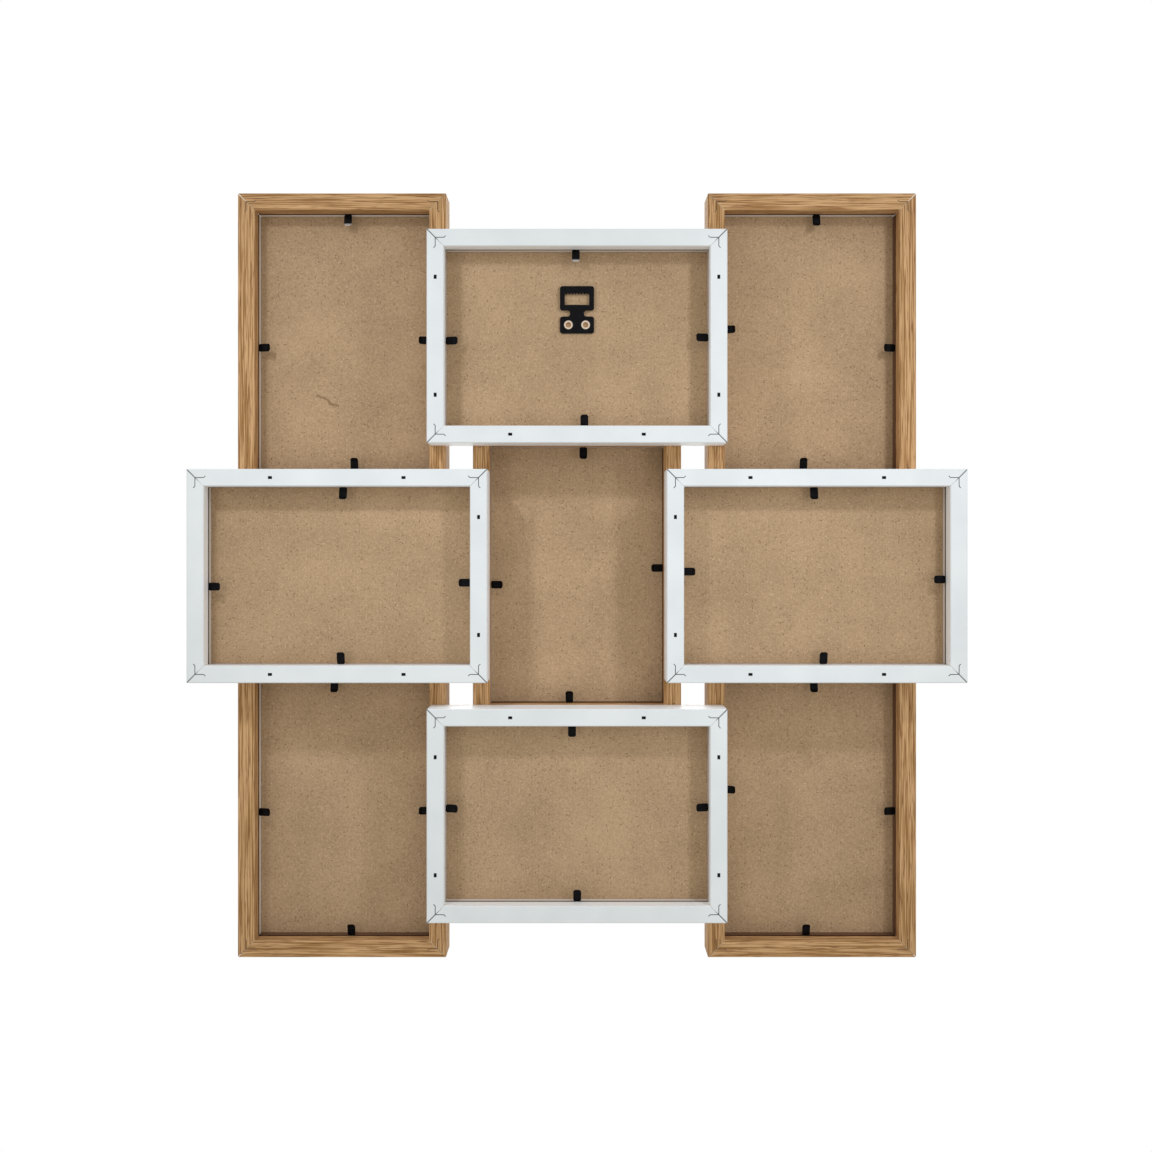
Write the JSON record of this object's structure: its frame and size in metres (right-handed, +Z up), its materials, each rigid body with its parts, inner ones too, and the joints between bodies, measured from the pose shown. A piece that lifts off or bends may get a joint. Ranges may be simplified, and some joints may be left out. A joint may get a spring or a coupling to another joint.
{
  "type": "collage photo frame",
  "caption": "Wall collage of small mitred picture frames lapped in two layers, oak in front and white behind, with bendable tabs that hold the backing boards and a sawtooth hanger.",
  "frame": {"origin": "on the wall plane, straight behind the middle notch of the sawtooth hanger", "axes": "+Z up, +Y into the wall so the pictures face -Y, +X to the left as seen from behind"},
  "size_m": [0.4506, 0.04, 0.4531],
  "materials": {
    "oak_foil": "oak woodgrain foil on a wrapped moulding, satin",
    "white_foil": "white foil on a wrapped moulding, satin",
    "hardboard": "pressed brown fibreboard, matt",
    "clear_pane": "clear polystyrene sheet, polished",
    "insert_paper": "plain white paper, matt",
    "black_steel": "black lacquered spring steel, satin",
    "fastener_steel": "drawn steel wire and strip, dull",
    "rivet_brass": "pale brass plate, satin"
  },
  "bodies": {
    "collage_frame": {"oak_frame_upper_left": "oak_foil", "oak_frame_upper_right": "oak_foil", "oak_frame_centre": "oak_foil", "oak_frame_lower_left": "oak_foil", "oak_frame_lower_right": "oak_foil", "white_frame_top": "white_foil", "white_frame_left": "white_foil", "white_frame_right": "white_foil", "white_frame_bottom": "white_foil", "corner_v_nails": "fastener_steel", "joining_brads": "fastener_steel", "tab_shanks": "black_steel", "oak_frame_panes": "clear_pane", "white_frame_panes": "clear_pane", "oak_frame_inserts": "insert_paper", "white_frame_inserts": "insert_paper", "oak_frame_boards": "hardboard", "white_frame_boards": "hardboard", "hanger_board": "hardboard", "sawtooth_hanger": "black_steel", "hanger_rivets": "rivet_brass"},
    "tab_upper_left_top": {"tab_upper_left_top": "black_steel"},
    "tab_upper_left_bottom": {"tab_upper_left_bottom": "black_steel"},
    "tab_upper_left_left": {"tab_upper_left_left": "black_steel"},
    "tab_upper_left_right": {"tab_upper_left_right": "black_steel"},
    "tab_upper_right_top": {"tab_upper_right_top": "black_steel"},
    "tab_upper_right_bottom": {"tab_upper_right_bottom": "black_steel"},
    "tab_upper_right_left": {"tab_upper_right_left": "black_steel"},
    "tab_upper_right_right": {"tab_upper_right_right": "black_steel"},
    "tab_centre_top": {"tab_centre_top": "black_steel"},
    "tab_centre_bottom": {"tab_centre_bottom": "black_steel"},
    "tab_centre_left": {"tab_centre_left": "black_steel"},
    "tab_centre_right": {"tab_centre_right": "black_steel"},
    "tab_lower_left_top": {"tab_lower_left_top": "black_steel"},
    "tab_lower_left_bottom": {"tab_lower_left_bottom": "black_steel"},
    "tab_lower_left_left": {"tab_lower_left_left": "black_steel"},
    "tab_lower_left_right": {"tab_lower_left_right": "black_steel"},
    "tab_lower_right_top": {"tab_lower_right_top": "black_steel"},
    "tab_lower_right_bottom": {"tab_lower_right_bottom": "black_steel"},
    "tab_lower_right_left": {"tab_lower_right_left": "black_steel"},
    "tab_lower_right_right": {"tab_lower_right_right": "black_steel"},
    "tab_top_top": {"tab_top_top": "black_steel"},
    "tab_top_bottom": {"tab_top_bottom": "black_steel"},
    "tab_top_left": {"tab_top_left": "black_steel"},
    "tab_top_right": {"tab_top_right": "black_steel"},
    "tab_left_top": {"tab_left_top": "black_steel"},
    "tab_left_bottom": {"tab_left_bottom": "black_steel"},
    "tab_left_left": {"tab_left_left": "black_steel"},
    "tab_left_right": {"tab_left_right": "black_steel"},
    "tab_right_top": {"tab_right_top": "black_steel"},
    "tab_right_bottom": {"tab_right_bottom": "black_steel"},
    "tab_right_left": {"tab_right_left": "black_steel"},
    "tab_right_right": {"tab_right_right": "black_steel"},
    "tab_bottom_top": {"tab_bottom_top": "black_steel"},
    "tab_bottom_bottom": {"tab_bottom_bottom": "black_steel"},
    "tab_bottom_left": {"tab_bottom_left": "black_steel"},
    "tab_bottom_right": {"tab_bottom_right": "black_steel"}
  },
  "joints": [
    {"name": "tab_upper_left_top_bend", "type": "hinge", "parent": "collage_frame", "child": "tab_upper_left_top", "pos_m": [0.1374, -0.0295, 0.04975], "axis": [1, 0, 0], "range_deg": [-60, 68]},
    {"name": "tab_upper_left_bottom_bend", "type": "hinge", "parent": "collage_frame", "child": "tab_upper_left_bottom", "pos_m": [0.1336, -0.0295, -0.10255], "axis": [-1, 0, 0], "range_deg": [-60, 68]},
    {"name": "tab_upper_left_left_bend", "type": "hinge", "parent": "collage_frame", "child": "tab_upper_left_left", "pos_m": [0.19055, -0.0295, -0.0298], "axis": [0, 0, -1], "range_deg": [-60, 68]},
    {"name": "tab_upper_left_right_bend", "type": "hinge", "parent": "collage_frame", "child": "tab_upper_left_right", "pos_m": [0.08825, -0.0295, -0.0254], "axis": [0, 0, 1], "range_deg": [-60, 68]},
    {"name": "tab_upper_right_top_bend", "type": "hinge", "parent": "collage_frame", "child": "tab_upper_right_top", "pos_m": [-0.1437, -0.0295, 0.04975], "axis": [1, 0, 0], "range_deg": [-60, 68]},
    {"name": "tab_upper_right_bottom_bend", "type": "hinge", "parent": "collage_frame", "child": "tab_upper_right_bottom", "pos_m": [-0.1359, -0.0295, -0.10255], "axis": [-1, 0, 0], "range_deg": [-60, 68]},
    {"name": "tab_upper_right_left_bend", "type": "hinge", "parent": "collage_frame", "child": "tab_upper_right_left", "pos_m": [-0.08825, -0.0295, -0.0188], "axis": [0, 0, -1], "range_deg": [-60, 68]},
    {"name": "tab_upper_right_right_bend", "type": "hinge", "parent": "collage_frame", "child": "tab_upper_right_right", "pos_m": [-0.19055, -0.0295, -0.0299], "axis": [0, 0, 1], "range_deg": [-60, 68]},
    {"name": "tab_centre_top_bend", "type": "hinge", "parent": "collage_frame", "child": "tab_centre_top", "pos_m": [-0.0038, -0.0295, -0.09005], "axis": [1, 0, 0], "range_deg": [-60, 68]},
    {"name": "tab_centre_bottom_bend", "type": "hinge", "parent": "collage_frame", "child": "tab_centre_bottom", "pos_m": [0.0046, -0.0295, -0.24235], "axis": [-1, 0, 0], "range_deg": [-60, 68]},
    {"name": "tab_centre_left_bend", "type": "hinge", "parent": "collage_frame", "child": "tab_centre_left", "pos_m": [0.05115, -0.0295, -0.172], "axis": [0, 0, -1], "range_deg": [-60, 68]},
    {"name": "tab_centre_right_bend", "type": "hinge", "parent": "collage_frame", "child": "tab_centre_right", "pos_m": [-0.05115, -0.0295, -0.162], "axis": [0, 0, 1], "range_deg": [-60, 68]},
    {"name": "tab_lower_left_top_bend", "type": "hinge", "parent": "collage_frame", "child": "tab_lower_left_top", "pos_m": [0.1456, -0.0295, -0.22985], "axis": [1, 0, 0], "range_deg": [-60, 68]},
    {"name": "tab_lower_left_bottom_bend", "type": "hinge", "parent": "collage_frame", "child": "tab_lower_left_bottom", "pos_m": [0.1354, -0.0295, -0.38215], "axis": [-1, 0, 0], "range_deg": [-60, 68]},
    {"name": "tab_lower_left_left_bend", "type": "hinge", "parent": "collage_frame", "child": "tab_lower_left_left", "pos_m": [0.19055, -0.0295, -0.3085], "axis": [0, 0, -1], "range_deg": [-60, 68]},
    {"name": "tab_lower_left_right_bend", "type": "hinge", "parent": "collage_frame", "child": "tab_lower_left_right", "pos_m": [0.08825, -0.0295, -0.3076], "axis": [0, 0, 1], "range_deg": [-60, 68]},
    {"name": "tab_lower_right_top_bend", "type": "hinge", "parent": "collage_frame", "child": "tab_lower_right_top", "pos_m": [-0.1422, -0.0295, -0.22985], "axis": [1, 0, 0], "range_deg": [-60, 68]},
    {"name": "tab_lower_right_bottom_bend", "type": "hinge", "parent": "collage_frame", "child": "tab_lower_right_bottom", "pos_m": [-0.1375, -0.0295, -0.38215], "axis": [-1, 0, 0], "range_deg": [-60, 68]},
    {"name": "tab_lower_right_left_bend", "type": "hinge", "parent": "collage_frame", "child": "tab_lower_right_left", "pos_m": [-0.08825, -0.0295, -0.295], "axis": [0, 0, -1], "range_deg": [-60, 68]},
    {"name": "tab_lower_right_right_bend", "type": "hinge", "parent": "collage_frame", "child": "tab_lower_right_right", "pos_m": [-0.19055, -0.0295, -0.3079], "axis": [0, 0, 1], "range_deg": [-60, 68]},
    {"name": "tab_top_top_bend", "type": "hinge", "parent": "collage_frame", "child": "tab_top_top", "pos_m": [0.0007, -0.0095, 0.02345], "axis": [1, 0, 0], "range_deg": [-60, 68]},
    {"name": "tab_top_bottom_bend", "type": "hinge", "parent": "collage_frame", "child": "tab_top_bottom", "pos_m": [-0.0043, -0.0095, -0.07885], "axis": [-1, 0, 0], "range_deg": [-60, 68]},
    {"name": "tab_top_left_bend", "type": "hinge", "parent": "collage_frame", "child": "tab_top_left", "pos_m": [0.07615, -0.0095, -0.029], "axis": [0, 0, -1], "range_deg": [-60, 68]},
    {"name": "tab_top_right_bend", "type": "hinge", "parent": "collage_frame", "child": "tab_top_right", "pos_m": [-0.07615, -0.0095, -0.0271], "axis": [0, 0, 1], "range_deg": [-60, 68]},
    {"name": "tab_left_top_bend", "type": "hinge", "parent": "collage_frame", "child": "tab_left_top", "pos_m": [0.1366, -0.0095, -0.11505], "axis": [1, 0, 0], "range_deg": [-60, 68]},
    {"name": "tab_left_bottom_bend", "type": "hinge", "parent": "collage_frame", "child": "tab_left_bottom", "pos_m": [0.1379, -0.0095, -0.21735], "axis": [-1, 0, 0], "range_deg": [-60, 68]},
    {"name": "tab_left_left_bend", "type": "hinge", "parent": "collage_frame", "child": "tab_left_left", "pos_m": [0.21465, -0.0095, -0.1726], "axis": [0, 0, -1], "range_deg": [-60, 68]},
    {"name": "tab_left_right_bend", "type": "hinge", "parent": "collage_frame", "child": "tab_left_right", "pos_m": [0.06235, -0.0095, -0.1703], "axis": [0, 0, 1], "range_deg": [-60, 68]},
    {"name": "tab_right_top_bend", "type": "hinge", "parent": "collage_frame", "child": "tab_right_top", "pos_m": [-0.1384, -0.0095, -0.11505], "axis": [1, 0, 0], "range_deg": [-60, 68]},
    {"name": "tab_right_bottom_bend", "type": "hinge", "parent": "collage_frame", "child": "tab_right_bottom", "pos_m": [-0.1439, -0.0095, -0.21735], "axis": [-1, 0, 0], "range_deg": [-60, 68]},
    {"name": "tab_right_left_bend", "type": "hinge", "parent": "collage_frame", "child": "tab_right_left", "pos_m": [-0.06235, -0.0095, -0.1638], "axis": [0, 0, -1], "range_deg": [-60, 68]},
    {"name": "tab_right_right_bend", "type": "hinge", "parent": "collage_frame", "child": "tab_right_right", "pos_m": [-0.21465, -0.0095, -0.1684], "axis": [0, 0, 1], "range_deg": [-60, 68]},
    {"name": "tab_bottom_top_bend", "type": "hinge", "parent": "collage_frame", "child": "tab_bottom_top", "pos_m": [0.0029, -0.0095, -0.25355], "axis": [1, 0, 0], "range_deg": [-60, 68]},
    {"name": "tab_bottom_bottom_bend", "type": "hinge", "parent": "collage_frame", "child": "tab_bottom_bottom", "pos_m": [-0.0001, -0.0095, -0.35585], "axis": [-1, 0, 0], "range_deg": [-60, 68]},
    {"name": "tab_bottom_left_bend", "type": "hinge", "parent": "collage_frame", "child": "tab_bottom_left", "pos_m": [0.07615, -0.0095, -0.3021], "axis": [0, 0, -1], "range_deg": [-60, 68]},
    {"name": "tab_bottom_right_bend", "type": "hinge", "parent": "collage_frame", "child": "tab_bottom_right", "pos_m": [-0.07615, -0.0095, -0.3015], "axis": [0, 0, 1], "range_deg": [-60, 68]}
  ]
}
